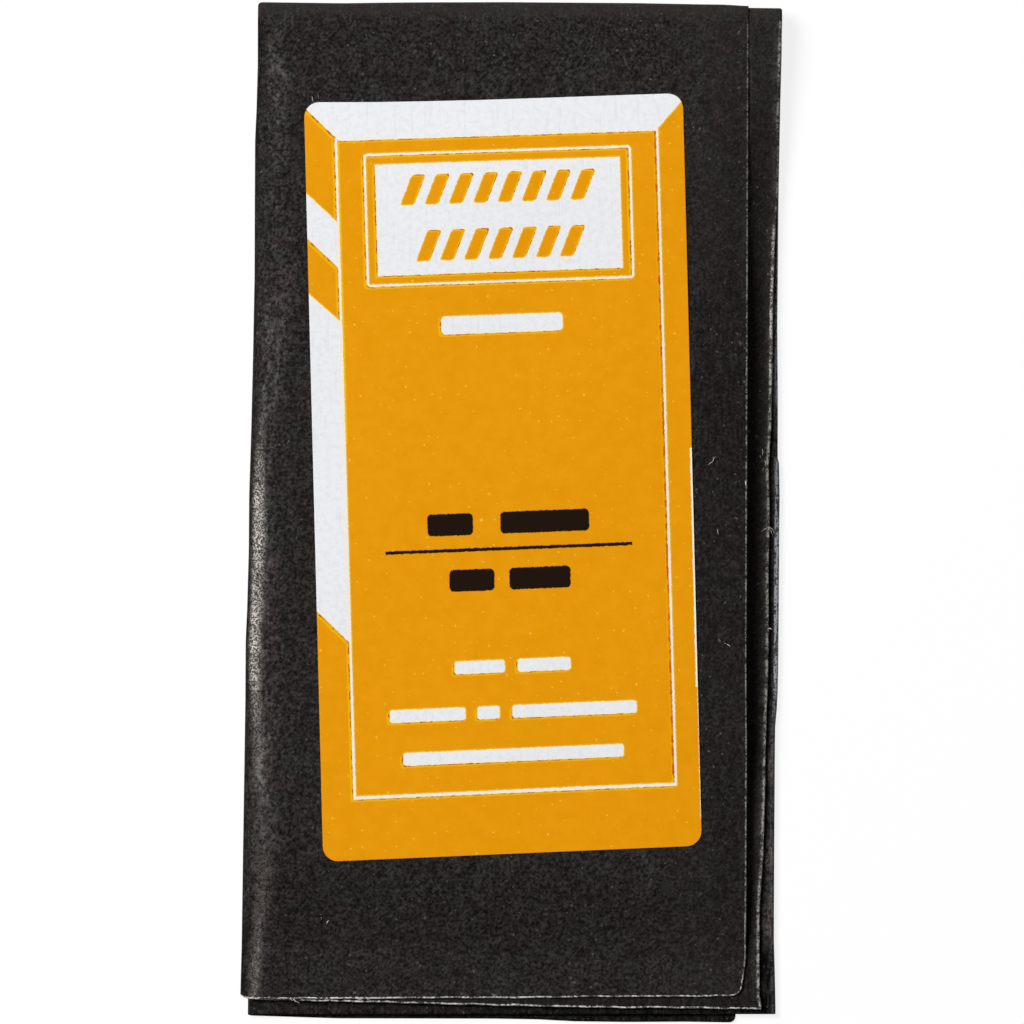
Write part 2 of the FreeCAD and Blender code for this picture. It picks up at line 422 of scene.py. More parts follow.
share_across, share_down = np.meshgrid(bunched(-1, 1, 64, 2), bunched(0, 1, 120, 1.7))
down_label = LABEL_LENGTH * share_down
to_end = np.minimum(down_label, LABEL_LENGTH - down_label)
in_corner = np.clip(LABEL_CORNER - to_end, 0, LABEL_CORNER)
half_width = LABEL_WIDTH / 2 - LABEL_CORNER + np.sqrt(LABEL_CORNER ** 2 - in_corner ** 2)
right_of_middle = share_across * (half_width - LABEL_NARROWER) - LABEL_TO_LEFT
top_lower = along(right_of_middle, TOP_EDGE_LOWER)
bottom_lower = -0.04 - 0.0173 * right_of_middle
lower = top_lower + (bottom_lower - top_lower) * share_down
local = np.stack([right_of_middle, down_label - LABEL_LENGTH / 2 + lower], axis=-1)
cos_turn, sin_turn = math.cos(LABEL_TURN), math.sin(LABEL_TURN)
flat = LABEL_MIDDLE + local @ np.array([[cos_turn, sin_turn], [sin_turn, -cos_turn]])
height = flap_top(*front_place(flat)) + LABEL_PAPER / 2
label_middle = np.concatenate([flat, height[..., None]], axis=-1)[::-1, ::-1]
vertices, faces, loop = closed_sheet(label_middle, LABEL_PAPER / 2, LABEL_RIM)
local_mm = (local + [LABEL_WIDTH / 2, LABEL_LENGTH / 2])[::-1, ::-1].reshape(-1, 2)
uv = np.concatenate([local_mm, local_mm, local_mm[loop]])
label_sheet = piece("label_sheet", vertices, faces.tolist(), uv)


# %% [markdown]
# ## Nodes in few words
# A finish is a tree of shader nodes. Each node is made by one call that names its kind and fills
# its sockets, with a number or with what another node gives out, so that a finish reads as a
# short list of steps.

# %% Helpers for finishes
def node(tree, kind, *in_order, settings=(), out=0, **by_name):
    """A node's output. Its sockets are filled in order, or by name with _ for a space."""
    made = tree.nodes.new("ShaderNode" + kind)
    for name, value in dict(settings).items():
        setattr(made, name, value)
    named = [(made.inputs[name.replace("_", " ").title()], value)
             for name, value in by_name.items()]
    for socket, value in list(zip(made.inputs, in_order)) + named:
        if isinstance(value, bpy.types.NodeSocket):
            tree.links.new(value, socket)
        elif value is not None:
            socket.default_value = value
    return made.outputs[out]


def maths(tree, operation, *values):
    return node(tree, "Math", *values, settings={"operation": operation})


def minus(tree, value):
    return maths(tree, "MULTIPLY", value, -1.0)


def vectors(tree, operation, *values):
    return node(tree, "VectorMath", *values, settings={"operation": operation})


def between(tree, value, low, high, start=0.0, end=1.0):
    """From start to end, smoothly, while the value goes from low to high."""
    return node(tree, "MapRange", value, low, high, start, end,
                settings={"interpolation_type": "SMOOTHSTEP"})


def blend(tree, share, first, second, how="MIX"):
    """Two colours mixed."""
    mix = tree.nodes.new("ShaderNodeMix")
    mix.data_type, mix.blend_type = "RGBA", how
    for socket, value in zip((mix.inputs[0], mix.inputs[6], mix.inputs[7]),
                             (share, first, second)):
        if isinstance(value, bpy.types.NodeSocket):
            tree.links.new(value, socket)
        elif isinstance(value, tuple):
            socket.default_value = (*value, 1)
        else:
            socket.default_value = value
    return mix.outputs[2]


def noise(tree, place, scale, detail=2.0, roughness=0.5):
    """Noise with so many features per millimetre, from about 0.3 to 0.7."""
    return node(tree, "TexNoise", place, scale=scale, detail=detail, roughness=roughness)


def finish(name, roughness, specular):
    """A material, its tree, its shader, and the place on the piece in millimetres."""
    material = bpy.data.materials.new(name)
    material.use_nodes = True
    tree = material.node_tree
    shader = tree.nodes["Principled BSDF"]
    shader.inputs["Roughness"].default_value = roughness
    shader.inputs["Specular IOR Level"].default_value = specular
    place = vectors(tree, "SCALE", node(tree, "TexCoord", out=3))
    place.node.inputs["Scale"].default_value = 1 / MM
    return material, tree, shader, place


# %% [markdown]
# ## Black paper
# The paper is dyed through, so it is never one even black: fine fibres lie in it, some of them
# pale, and the light runs along them. One noise alone looks like sand, so several are laid over
# each other: fine and middling grain, a slow cloud of warmer and cooler black, short strokes at
# two angles for the fibres, and a few pale specks.

# %% Black paper: fibres and specks
def turned_noise(tree, place, angle, stretch):
    """Noise drawn out into short strokes that lie at an angle."""
    turned = node(tree, "VectorRotate", place, angle=angle, settings={"rotation_type": "Z_AXIS"})
    return noise(tree, vectors(tree, "MULTIPLY", turned, stretch), 1, 2)


def carried(name):
    """A value that the sheet's vertices carry."""
    return node(tree, "Attribute", settings={"attribute_name": name}, out=2)


black_paper, tree, shader, place = finish("black_paper", 0.8, 0.08)
fine = noise(tree, place, 4.6, 3, 0.6)
grain = noise(tree, place, 6.0, 2, 0.65)
middling = noise(tree, place, 1.4, 3, 0.6)
cloud = noise(tree, place, 0.35, 3)
upright = turned_noise(tree, place, 0.0, (4.5, 1.0, 2))
strokes = maths(tree, "MAXIMUM", turned_noise(tree, place, 0.35, (8, 2.2, 2)),
                turned_noise(tree, place, -0.8, (2, 7, 2)))
dyed = blend(tree, between(tree, cloud, 0.42, 0.58),
             (0.0188, 0.0150, 0.0142), (0.0176, 0.0165, 0.0151))
light = maths(tree, "ADD", between(tree, fine, 0.33, 0.69, 0.24, 1.8),
              between(tree, strokes, 0.58, 0.76, 0, 1.2))
light = maths(tree, "MULTIPLY", light, between(tree, middling, 0.3, 0.7, 0.7, 1.3))
evened = maths(tree, "MULTIPLY", maths(tree, "SUBTRACT", 1.05, light), carried("smoothed"))
light = maths(tree, "ADD", light, evened)
# Painted highlights and painted shade carried by the sheet, with the back half's real scuffs, make
# the paper lighter or darker, in upright strokes.
painted_light_and_scuffs = maths(tree, "MULTIPLY", carried("painted_light_and_scuffs"), between(tree, upright, 0.35, 0.68, 0.45, 1.8))
light = maths(tree, "MULTIPLY", light, maths(tree, "ADD", 1.0, painted_light_and_scuffs))
color = blend(tree, 1.0, dyed, light, "MULTIPLY")
large_specks = between(tree, noise(tree, place, 3.1, 1, 0.4), 0.735, 0.79, 0, 0.8)
small_specks = between(tree, noise(tree, place, 6.5, 1, 0.4), 0.73, 0.77, 0, 0.7)
specks = maths(tree, "MAXIMUM", large_specks, small_specks)
color = blend(tree, specks, color, (0.10, 0.097, 0.092))
print("nodes in the plain paper:", len(tree.nodes))

# %% [markdown]
# ## Rubbed and cut paper
# Where the paper is cut, creased or rubbed, its fibres stand up and look pale, in broken spots
# and never in an even line. A mask painted by hand would not be repeatable. Here the grid of the
# sheet knows where its edges and folds are and carries that in values on its vertices, which the
# cells on wear work out, and the finish breaks them up with the same noises.

# %% Black paper: wear
wear = carried("wear")
rubbed = between(tree, noise(tree, place, 8.0, 2, 0.65), 0.43, 0.64, 0.07, 1.4)
rubbed = maths(tree, "MULTIPLY", wear, rubbed)
rubbed = maths(tree, "MULTIPLY", rubbed, between(tree, middling, 0.3, 0.7, 0.65, 1.4))
color = blend(tree, maths(tree, "MINIMUM", rubbed, 1.0), color, (0.62, 0.58, 0.53))

broken = between(tree, maths(tree, "MULTIPLY_ADD", middling, 0.7, grain), 0.76, 0.99, 0.1, 1.3)
creased = maths(tree, "MULTIPLY", carried("crease"), broken)
color = blend(tree, maths(tree, "MINIMUM", creased, 1.0), color, (0.66, 0.64, 0.585))

# Painted highlight on the back half's right fold, broken into streaks of wear.
streaks = turned_noise(tree, place, 0.01, (10, 1.3, 1))
streaked = maths(tree, "MULTIPLY_ADD", grain, 1.1, streaks)
streaked = between(tree, streaked, 0.90, 1.18, 0.08, 1.4)
back_fold_worn_and_lit = maths(tree, "MULTIPLY", carried("back_fold_wear_and_highlight"), streaked)
color = blend(tree, back_fold_worn_and_lit, color, (0.34, 0.35, 0.375))

from_cut = maths(tree, "MINIMUM", carried("from_side"), carried("from_end"))
ragged = maths(tree, "MULTIPLY_ADD", grain, 0.11, 0.008)
cut_line = between(tree, maths(tree, "DIVIDE", from_cut, ragged), 0.6, 1.5)
cut_line = maths(tree, "SUBTRACT", 1.0, cut_line)
spotty = between(tree, maths(tree, "MULTIPLY_ADD", middling, 0.6, grain), 0.66, 0.98, 0.08, 1.25)
cut_line = maths(tree, "MULTIPLY", maths(tree, "MULTIPLY", cut_line, spotty),
                 carried("cut_paleness"))
color = blend(tree, maths(tree, "MINIMUM", cut_line, 1.0), color, (0.74, 0.73, 0.70))

tree.links.new(color, shader.inputs["Base Color"])
bump = node(tree, "Bump", strength=0.7, distance=0.00002,
            height=maths(tree, "ADD", fine, strokes))
tree.links.new(bump, shader.inputs["Normal"])
print("nodes in the worn paper:", len(tree.nodes))

# %% [markdown]
# ## Where the left fold is rubbed
# The needles make the left fold stand out in its middle, and there it is rubbed most. The worn
# band lies just inside the outline, and beside it a highlight is painted on the paper, with
# painted shade along the outermost rim. Tables along the fold say where the band's middle is,
# how wide it is and how strong.

# %% Places on the sheet
def band(across_mm, centre, width):
    """1 on the centre line, falling to 0 at the width on either side, as a squared bell."""
    return np.clip(1 - ((across_mm - centre) / width) ** 2, 0, 1) ** 2


up_the_front = 1 - np.clip(v_grid, 0, 1)
x_grid, _ = section(u_grid, FRONT_LENGTH * up_the_front)
s_grid = front_end(u_grid, x_grid) * up_the_front
t_grid = BACK_LENGTH * (np.clip(v_grid, 2, 3) - 2)
on_front_half, on_back_half = v_grid <= 1, v_grid > 2
on_left = (u_grid < 1.5) & on_front_half
from_outline = x_grid + left_stray(s_grid)
print("points of the grid on the front half:", np.count_nonzero(on_front_half))

# %% Wear on the left fold
WEAR_CENTRE = {0: 0.87, 26: 0.81, 29: 0.63, 32: 0.67, 40: 0.56, 43: 0.61, 46.6: 0.83, 50: 0.97,
               53: 1.27, 56.5: 1.37, 60: 1.09, 63: 0.93}
WEAR_WIDTH = {26: 0.37, 29: 0.42, 32: 0.61, 34: 0.69, 40: 0.63, 47: 0.47, 50: 0.67, 60: 0.60,
              63: 0.47}
WEAR_STRENGTH = {24: 0, 26.4: 0.12, 29: 0.24, 30.5: 0.45, 31.7: 0.62, 34.4: 0.72, 37: 0.52,
                 40: 0.85, 43.3: 0.48, 46.6: 0.22, 50: 0.08, 53: 0.03, 60: 0.12, 62.7: 0.18,
                 64.5: 0.18}

worn_band = band(from_outline, along(s_grid, WEAR_CENTRE), along(s_grid, WEAR_WIDTH))
off_the_rim = ease((from_outline - 0.2) / 0.2)
wear_value = np.where(on_left, worn_band * along(s_grid, WEAR_STRENGTH) * off_the_rim, 0)
print("most wear on the left fold:", wear_value.max().round(2))

# %% Painted highlight beside the left fold, and painted shade
CROWN = {0: 1.2, 1.9: 0.8, 4: 1.4, 7: 1.2, 10: 1.5, 13.6: 1.7, 17: 1.5, 20: 1.25, 26.4: 0.95,
         29: 0.8, 43: 0.8, 47: 1.1, 50: 1.1, 53: 1.35, 57: 1.4, 60: 1.1, 63: 0.95}
SPREAD = {0: 2, 2: 1.2, 4: 1.0, 7: 1.2, 10: 3, 13.6: 1.2, 17: 1.8, 22: 1.7, 29: 1.6, 43: 2.0,
          47: 1.4, 53: 1.3, 57: 1.3, 60: 1.1, 63: 0.7}
SHINE = {0: 0.25, 1.9: 1.0, 4: 1.5, 7: 0.65, 10: 0.3, 13.6: 0.5, 17: 0.8, 20: 1.5, 24: 1.5,
         27: 0.9, 32: 1.0, 43: 1.1, 47: 1.5, 50: 1.6, 53: 1.15, 57: 1.3, 60: 1.2, 63: 1.2}
SHINE_STARTS = 0.35
RIM_PAINTED_SHADE, RIM_WIDTH = 0.68, 0.5
FLAP_PAINTED_SHADE = {0: -0.08, 9: -0.06, 14: 0.02, 19: 0.3, 27: 0.32, 32: 0.25, 40: 0.25, 46: 0.12,
               52: 0.12, 60: 0}
BACK_END_PAINTED_SHADOW = {0: 0.15, 8: 0.3, 18: 0.5, 35: 0.5}

# Painted highlight: the paper beside the left fold is made lighter, rising to its crown and falling
# off over the spread, where the rounded fold faces the lamp.
crown = along(s_grid, CROWN)
rising = ease((from_outline - SHINE_STARTS) / (crown - SHINE_STARTS))
falling = 1 - ease((from_outline - crown) / along(s_grid, SPREAD))
# Painted shade: darker along the fold's outer half millimetre, where it turns away from the lamp.
rim_shade = RIM_PAINTED_SHADE * (1 - ease(from_outline / RIM_WIDTH))
painted_light_and_scuffs_value = np.where(on_left, along(s_grid, SHINE) * rising * falling - rim_shade, 0)
# Painted shade on the flap's right side below about 14 mm from the top fold, and a little painted
# light above it.
on_flap_right = np.where((u_grid < 0.9) & on_front_half, ease((x_grid - 26.5) / 4), 0)
painted_light_and_scuffs_value -= on_flap_right * along(s_grid, FLAP_PAINTED_SHADE)
# Painted shadow on the back half's lower end, under the end of the front half, deepest on the
# right.
near_back_end = np.where(on_back_half, ease((v_grid - 2.9) / 0.06), 0)
painted_light_and_scuffs_value -= near_back_end * along(x_grid, BACK_END_PAINTED_SHADOW)
print("sheen from", painted_light_and_scuffs_value.min().round(2), "to", painted_light_and_scuffs_value.max().round(2))

# %% [markdown]
# ## Where the right folds are worn
# The front half's right fold has a thin worn line along its crest. Beside it the back half shows
# its own fold as a fine line near the top and a broad pale band below the kink, partly streaky
# wear and partly a painted highlight, and scuffs lower down.

# %% Wear and painted highlight on the right folds
CREST_INWARD = {7: 0.06, 10: 0.14, 14: 0.09}
CREST_WIDTH = {13: 0.11, 17: 0.14, 24: 0.14, 27: 0.11}
CREST_STRENGTH = {0: 0.5, 3: 0.4, 4: 0.15, 5: 0.3, 8: 0.3, 10: 0.5, 13: 0.9, 16: 1.3, 20: 1.35,
                  26: 0.8, 40: 0.75, 46: 0.8, 53: 0.9, 56: 1.15, 64.5: 1.1}
THIN_LINE = {7: 0, 11: 1.2, 25.5: 1.2, 27: 0.1}
BROAD_BAND = {28.7: 0, 29.2: 0.45, 31: 0.45, 33: 0.65, 36: 0.95, 38: 1.1, 42: 1.05, 44: 0.65,
              46.3: 0.15, 56: 0.1}
UPPER_BAND = {10: 0, 14: 0.3, 24: 0.3, 27: 0}
SCUFFS = {47.5: 0, 48.6: 1.3, 50: 1.2, 51: -0.4, 52: 0.5, 53: -0.4, 53.8: -0.3, 54.6: 1.8,
          56.4: 1.0, 57.2: -0.3, 58.1: 1.2, 60.5: 0.9, 61.5: -0.2}

on_fold = (u_grid > 3.2) & on_front_half
from_crest = np.abs(x_grid - fold_line(s_grid) - along(s_grid, CREST_INWARD))
crest = np.clip(1 - (from_crest / along(s_grid, CREST_WIDTH)) ** 2, 0, 1)
crest = np.where(on_fold, crest, 0) * along(s_grid, CREST_STRENGTH)
# A faint painted highlight within half a millimetre of the crest, where the fold rounds.
crest = np.maximum(crest, 0.06 * np.where(on_fold, np.clip(1 - from_crest / 0.5, 0, 1), 0))

# The back half's right fold: a painted highlight with wear, as a fine line near the top, a pale
# band below the kink and a fainter band beside the fold above it.
from_right = x_grid - STRIP_WIDTH
thin_line = np.clip(1 - np.abs(u_grid - 3.42) / 0.4, 0, 1) * along(t_grid, THIN_LINE)
broad = ease((from_right + 0.31) / 0.12) * along(t_grid, BROAD_BAND)
broad = np.maximum(broad, ease((from_right + 0.45) / 0.1) * along(t_grid, UPPER_BAND))
on_back_fold = (u_grid > 2.5) & (u_grid < 4.2) & on_back_half
back = np.where(on_back_fold, np.maximum(thin_line, broad), 0)
scuffed = (u_grid > 2.5) & (u_grid < 3.5) & on_back_half
scuffed = np.where(scuffed, ease((from_right + 1.4) / 0.6), 0)
painted_light_and_scuffs_value += scuffed * along(t_grid, SCUFFS)
print("most wear on the right folds:", crest.max().round(2), back.max().round(2))

# %% [markdown]
# ## The top fold, the tuck and the cut edges
# The paper is stretched smooth over the top fold, and a highlight is painted over it. The tuck
# lies in the flap's shade; beside the flap's edge in the top 16 mm and from 48 to 58 mm down
# that shade is painted lighter, and towards the tuck's lower end painted darker. Cut edges are
# pale where they catch the light, most of all at the lower end, so each point also carries how
# far it is from a cut.

# %% Painted highlight on the top fold, painted light and shade on the tuck
TUCK_PAINTED_LIGHT_AND_SHADE = {48: 0, 52: 0.5, 56: 0.5, 58: 0, 61: -0.35, 64.5: -0.3}
BESIDE_FLAP_PAINTED_LIGHT = {0: 0.5, 4: 0.8, 8: 1.4, 11: 2.2, 13: 1.8, 16: 0}
FLAP_SMOOTHED = {0: 0.42, 14: 0.42, 22: 0.25}
TUCK_SMOOTHED, TOP_SMOOTHED, TOP_PAINTED_HIGHLIGHT = 0.45, 0.75, 0.24

over_the_top = ease((v_grid - 0.98) / 0.2) * ease((2 - v_grid) / 0.2)
# Painted highlight over the top fold.
painted_light_and_scuffs_value += TOP_PAINTED_HIGHLIGHT * over_the_top
on_tuck = np.where((u_grid > 3.4) & on_front_half, 1.0, 0)
# Painted light on the tuck in the flap's shade, 48 to 58 mm down, and painted shade at its lower
# end.
painted_light_and_scuffs_value += on_tuck * along(s_grid, TUCK_PAINTED_LIGHT_AND_SHADE)
# Painted light on the shadow line beside the flap's edge, in the top 16 mm.
beside_flap = on_tuck * band(x_grid, flap_width(s_grid) + 0.06, 0.24)
painted_light_and_scuffs_value += beside_flap * along(s_grid, BESIDE_FLAP_PAINTED_LIGHT)
smoothed = (TOP_SMOOTHED * over_the_top + on_flap_right * along(s_grid, FLAP_SMOOTHED)
            + TUCK_SMOOTHED * on_tuck)
print("most sheen:", painted_light_and_scuffs_value.max().round(2))

# %% Cut edges, and all values put on the vertices
FAR = 9
PALE_EDGE = {0: 0.2, 12: 0.22, 20: 0.3, 45: 0.3, 52: 0.33, 56: 0.36, 61: 0.42, 63: 0.8,
             64.5: 0.95}

from_side = np.minimum(np.where(u_grid < 2.5, u_grid * FLAP_MM, FAR),
                       np.where(u_grid > 4, (5 - u_grid) * TUCK_MM, FAR))
from_end = np.minimum(np.where(v_grid < 1.5, v_grid * FRONT_LENGTH, FAR),
                      np.where(v_grid > 1.5, (3 - v_grid) * BACK_LENGTH, FAR))
paleness = np.where(on_front_half, along(s_grid, PALE_EDGE), 0)
# One of these values holds painted highlights and painted shade, with the back half's scuffs.
carried_values = {
    "wear": wear_value, "painted_light_and_scuffs": painted_light_and_scuffs_value, "smoothed": smoothed, "crease": crest,
    "back_fold_wear_and_highlight": back, "from_side": from_side, "from_end": from_end, "cut_paleness": paleness,
}
for name, values in carried_values.items():
    per_point = values.reshape(-1)
    numbers = np.concatenate([per_point, per_point, per_point[paper_loop]]).astype(np.float32)
    attribute = packet_paper.data.attributes.new(name, "FLOAT", "POINT")
    attribute.data.foreach_set("value", numbers)
packet_paper.data.materials.append(black_paper)
print("values on each vertex:", ", ".join(carried_values))

# %% [markdown]
# ## The label's print
# Print is flat shapes of ink. Each shape is a distance: less than 0 inside, more outside. The
# least of many distances is all the shapes together, and the most of them is what they share.
# Geometry for each shape would stand proud of the paper, and a picture would blur close by, so
# the shapes are worked out in the shader. A bar is a node group, because there are so many.

# %% Shapes of ink
def group(name, inputs, output):
    """A node group with vector or number inputs and one number out."""
    made = bpy.data.node_groups.new(name, "ShaderNodeTree")
    for title, kind in inputs:
        made.interface.new_socket(title, in_out="INPUT", socket_type="NodeSocket" + kind)
    made.interface.new_socket(output, in_out="OUTPUT", socket_type="NodeSocketFloat")
    given = made.nodes.new("NodeGroupInput").outputs
    return made, given, made.nodes.new("NodeGroupOutput").inputs[0]


bar_group, given, result = group(
    "bar", [("Place", "Vector"), ("Middle", "Vector"), ("Half", "Vector"), ("Round", "Float")],
    "Distance")
apart = vectors(bar_group, "ABSOLUTE", vectors(bar_group, "SUBTRACT", given[0], given[1]))
corner_round = node(bar_group, "CombineXYZ", given[3], given[3], 0.0)
past = vectors(bar_group, "SUBTRACT", apart,
               vectors(bar_group, "SUBTRACT", given[2], corner_round))
outside = node(bar_group, "VectorMath", vectors(bar_group, "MAXIMUM", past, (0, 0, 0)),
               settings={"operation": "LENGTH"}, out=1)
parts = node(bar_group, "SeparateXYZ", past).node
inside = maths(bar_group, "MAXIMUM", parts.outputs[0], parts.outputs[1])
inside = maths(bar_group, "MINIMUM", inside, 0.0)
distance = maths(bar_group, "SUBTRACT", maths(bar_group, "ADD", outside, inside), given[3])
bar_group.links.new(distance, result)


def bar(tree, place, left, right, middle, height, rounding=0.0):
    """Distance from a bar from left to right, in millimetres."""
    made = tree.nodes.new("ShaderNodeGroup")
    made.node_tree = bar_group
    tree.links.new(place, made.inputs[0])
    made.inputs[1].default_value = ((left + right) / 2, middle, 0)
    made.inputs[2].default_value = ((right - left) / 2, height / 2, 1000)
    made.inputs[3].default_value = rounding
    return made.outputs[0]


# %% Shapes together
def combined(tree, operation, distances):
    total = distances[0]
    for distance in distances[1:]:
        total = maths(tree, operation, total, distance)
    return total


def least(tree, distances):
    """The least of several distances: all the shapes together."""
    return combined(tree, "MINIMUM", distances)


def most(tree, distances):
    """The most of several distances: what is inside all the shapes."""
    return combined(tree, "MAXIMUM", distances)


def line_under(tree, x, y, start, slope):
    """Distance below the line y = start + slope times x."""
    rise = maths(tree, "MULTIPLY_ADD", x, slope, start)
    return maths(tree, "MULTIPLY", maths(tree, "SUBTRACT", y, rise), 1 / math.hypot(1, slope))


STITCH_SLANT, STITCH_HALF, STITCH_ROUND = 0.42, 0.46, 0.2


def stitches(tree, place, left, count, pitch, middle, height):
    """A row of slanting stitches: one bar, repeated."""
    parts = node(tree, "SeparateXYZ", place).node
    above = maths(tree, "SUBTRACT", parts.outputs[1], middle)
    slanted = maths(tree, "MULTIPLY_ADD", above, STITCH_SLANT, parts.outputs[0])
    cell = maths(tree, "DIVIDE", maths(tree, "SUBTRACT", slanted, left), pitch)
    across_cell = maths(tree, "SUBTRACT", maths(tree, "FRACT", cell), 0.5)
    across_cell = maths(tree, "MULTIPLY", across_cell, pitch)
    one = bar(tree, node(tree, "CombineXYZ", across_cell, parts.outputs[1], 0.0),
              -STITCH_HALF, STITCH_HALF, middle, height, STITCH_ROUND)
    row = maths(tree, "ABSOLUTE", maths(tree, "SUBTRACT", cell, count / 2))
    return maths(tree, "MAXIMUM", one, maths(tree, "SUBTRACT", row, count / 2))


# %% [markdown]
# ## The white shapes
# The label's paper stays white where no orange is printed: a slanting band along the top, two
# stripes down the left, thin frame lines, a panel with rows of stitches, and plain bars. They are
# one node group, because the finish asks for them three times, each time a little moved.

# %% White shapes, in millimetres from the label's top left corner
SLANTS = ((6.035, 0.98, 9.03, 1.0), (12.655, 0.935, 33.6, 1.03))
SMALL_BARS = ((8.83, 12.15, 37.57), (12.99, 16.5, 37.57), (4.46, 9.48, 40.6), (10.25, 11.73, 40.6),
              (12.57, 20.77, 40.6), (5.28, 19.83, 43.45))
SMALL_HEIGHT, SMALL_ROUND = 0.85, 0.2

white_group, given, result = group("white_shapes", [("Place", "Vector")], "Distance")
at = given[0]
parts = node(white_group, "SeparateXYZ", at).node
x, y = parts.outputs[0], parts.outputs[1]
top_band = most(white_group, [
    maths(white_group, "SUBTRACT", y, 2.63), line_under(white_group, x, y, 0.363, 1.02),
    line_under(white_group, x, y, 27.59, -1.08)])
stripes = [
    most(white_group, [maths(white_group, "SUBTRACT", x, 1.96),
                       minus(white_group, line_under(white_group, x, y, upper, rise)),
                       line_under(white_group, x, y, lower, fall)])
    for upper, rise, lower, fall in SLANTS
]
frame_lines = [bar(white_group, at, 1.93, 2.09, 24.2, 43.5),
               bar(white_group, at, 1.93, 23.27, 45.85, 0.215),
               bar(white_group, at, 23.13, 23.27, 24.2, 43.5)]
panel_frame = bar(white_group, at, 3.86, 21.36, 7.92, 8.62, 0.2)
panel_frame = maths(white_group, "SUBTRACT", maths(white_group, "ABSOLUTE", panel_frame), 0.074)
panel = bar(white_group, at, 4.53, 20.69, 7.935, 7.34)
stitch_rows = least(white_group, [stitches(white_group, at, 6.2, 8, 1.6, 6.0, 2.0),
                                  stitches(white_group, at, 7.15, 7, 1.58, 9.7, 2.05)])
panel = maths(white_group, "MAXIMUM", panel, minus(white_group, stitch_rows))
bars = [bar(white_group, at, 8.6, 16.62, 15.0, 1.2, 0.3)]
bars += [bar(white_group, at, *small, SMALL_HEIGHT, SMALL_ROUND) for small in SMALL_BARS]
white = least(white_group, [top_band, *stripes, *frame_lines, panel_frame, panel, *bars])
white_group.links.new(white, result)
print("nodes in the white shapes:", len(white_group.nodes))

# %% [markdown]
# ## The label's finish
# Cheap print is never exact. The ink's edges are a little ragged, so the place is shaken by a
# fine noise, and the print stands slightly askew on the label. The orange ink is printed round
# the white shapes out of register, so the same shapes moved to one side give the yellow and the
# dark line along their edges. Speckles, a mottled white and a bare cut edge make it paper.

# %% The label's finish: places
ASKEW, ASKEW_GROWS, LEAN = 0.0065, 0.00026, -0.0035
JITTER = 0.11

printed_label, tree, shader, place = finish("printed_label", 0.6, 0.05)
uv = node(tree, "UVMap", settings={"uv_map": "print"})
parts = node(tree, "SeparateXYZ", uv).node
skew = maths(tree, "MULTIPLY_ADD", parts.outputs[1], ASKEW_GROWS, ASKEW)
from_middle = maths(tree, "SUBTRACT", parts.outputs[0], LABEL_WIDTH / 2)
level = maths(tree, "MULTIPLY_ADD", skew, from_middle, parts.outputs[1])
from_top = maths(tree, "SUBTRACT", parts.outputs[1], 2.6)
upright = maths(tree, "MULTIPLY_ADD", from_top, LEAN, parts.outputs[0])
square = node(tree, "CombineXYZ", upright, level, 0.0)
jitter = node(tree, "TexNoise", uv, scale=5.5, detail=1.0, out=1)
jitter = vectors(tree, "SCALE", vectors(tree, "SUBTRACT", jitter, (0.5, 0.5, 0.5)))
jitter.node.inputs["Scale"].default_value = JITTER
ragged_place = vectors(tree, "ADD", square, jitter)


def from_white(shift):
    """Distance from the white shapes, moved by a shift in millimetres."""
    made = tree.nodes.new("ShaderNodeGroup")
    made.node_tree = white_group
    tree.links.new(vectors(tree, "SUBTRACT", ragged_place, (*shift, 0)), made.inputs[0])
    return made.outputs[0]


def within(distance, soft=0.02):
    """1 inside a shape and 0 outside, with a soft edge."""
    return between(tree, distance, -soft, soft, 1.0, 0.0)


# %% The label's finish: orange ink
dots = between(tree, noise(tree, uv, 2.1, 1), 0.47, 0.60)
speckle = between(tree, noise(tree, uv, 3.6, 1, 0.4), 0.725, 0.76, 0, 0.8)
even = noise(tree, uv, 0.9, 4, 0.65)
orange = blend(tree, between(tree, even, 0.3, 0.7), (0.765, 0.300, 0.0), (0.80, 0.322, 0.002))
orange = blend(tree, speckle, orange, (0.92, 0.50, 0.06))
yellow_edge = maths(tree, "MULTIPLY", within(from_white((-0.19, 0.15)), 0.04), 0.8)
orange = blend(tree, yellow_edge, orange, (0.90, 0.47, 0.0))
unmoved = from_white((0, 0))
orange = blend(tree, between(tree, unmoved, 0.05, 0.11, 0.75, 0.0), orange, (0.78, 0.50, 0.02))
dark_edge = within(from_white((-0.085, 0.065)), 0.03)
dark_edge = maths(tree, "MULTIPLY", dark_edge, maths(tree, "MULTIPLY_ADD", dots, 0.75, 0.25))
orange = blend(tree, dark_edge, orange, (0.42, 0.09, 0.002))
red_line = bar(tree, ragged_place, 22.98, 23.2, 23.9, 42.6, 0.05)
red_line = maths(tree, "MULTIPLY", within(red_line, 0.03), 0.9)
red_line = maths(tree, "MULTIPLY", red_line, maths(tree, "MULTIPLY_ADD", dots, 0.5, 0.5))
orange = blend(tree, red_line, orange, (0.58, 0.085, 0.002))
yellow_line = bar(tree, ragged_place, 2.0, 2.22, 12.5, 20.0, 0.05)
yellow_line = maths(tree, "MULTIPLY", within(yellow_line, 0.03), 0.8)
orange = blend(tree, yellow_line, orange, (0.88, 0.52, 0.0))

# %% The label's finish: white paper, black ink and the cut edge
BLACK_BARS = ((7.31, 10.33, 28.13, 1.45, 0.3), (12.13, 17.99, 28.13, 1.45, 0.3),
              (4.49, 20.78, 29.835, 0.225, 0.0), (8.66, 11.64, 31.84, 1.45, 0.3),
              (12.62, 16.66, 31.84, 1.45, 0.3))
BARE_EDGES = ((24.84, 26, 31.4, 15.8, 0.1), (24.93, 26, 36.0, 24.0, 0.1))

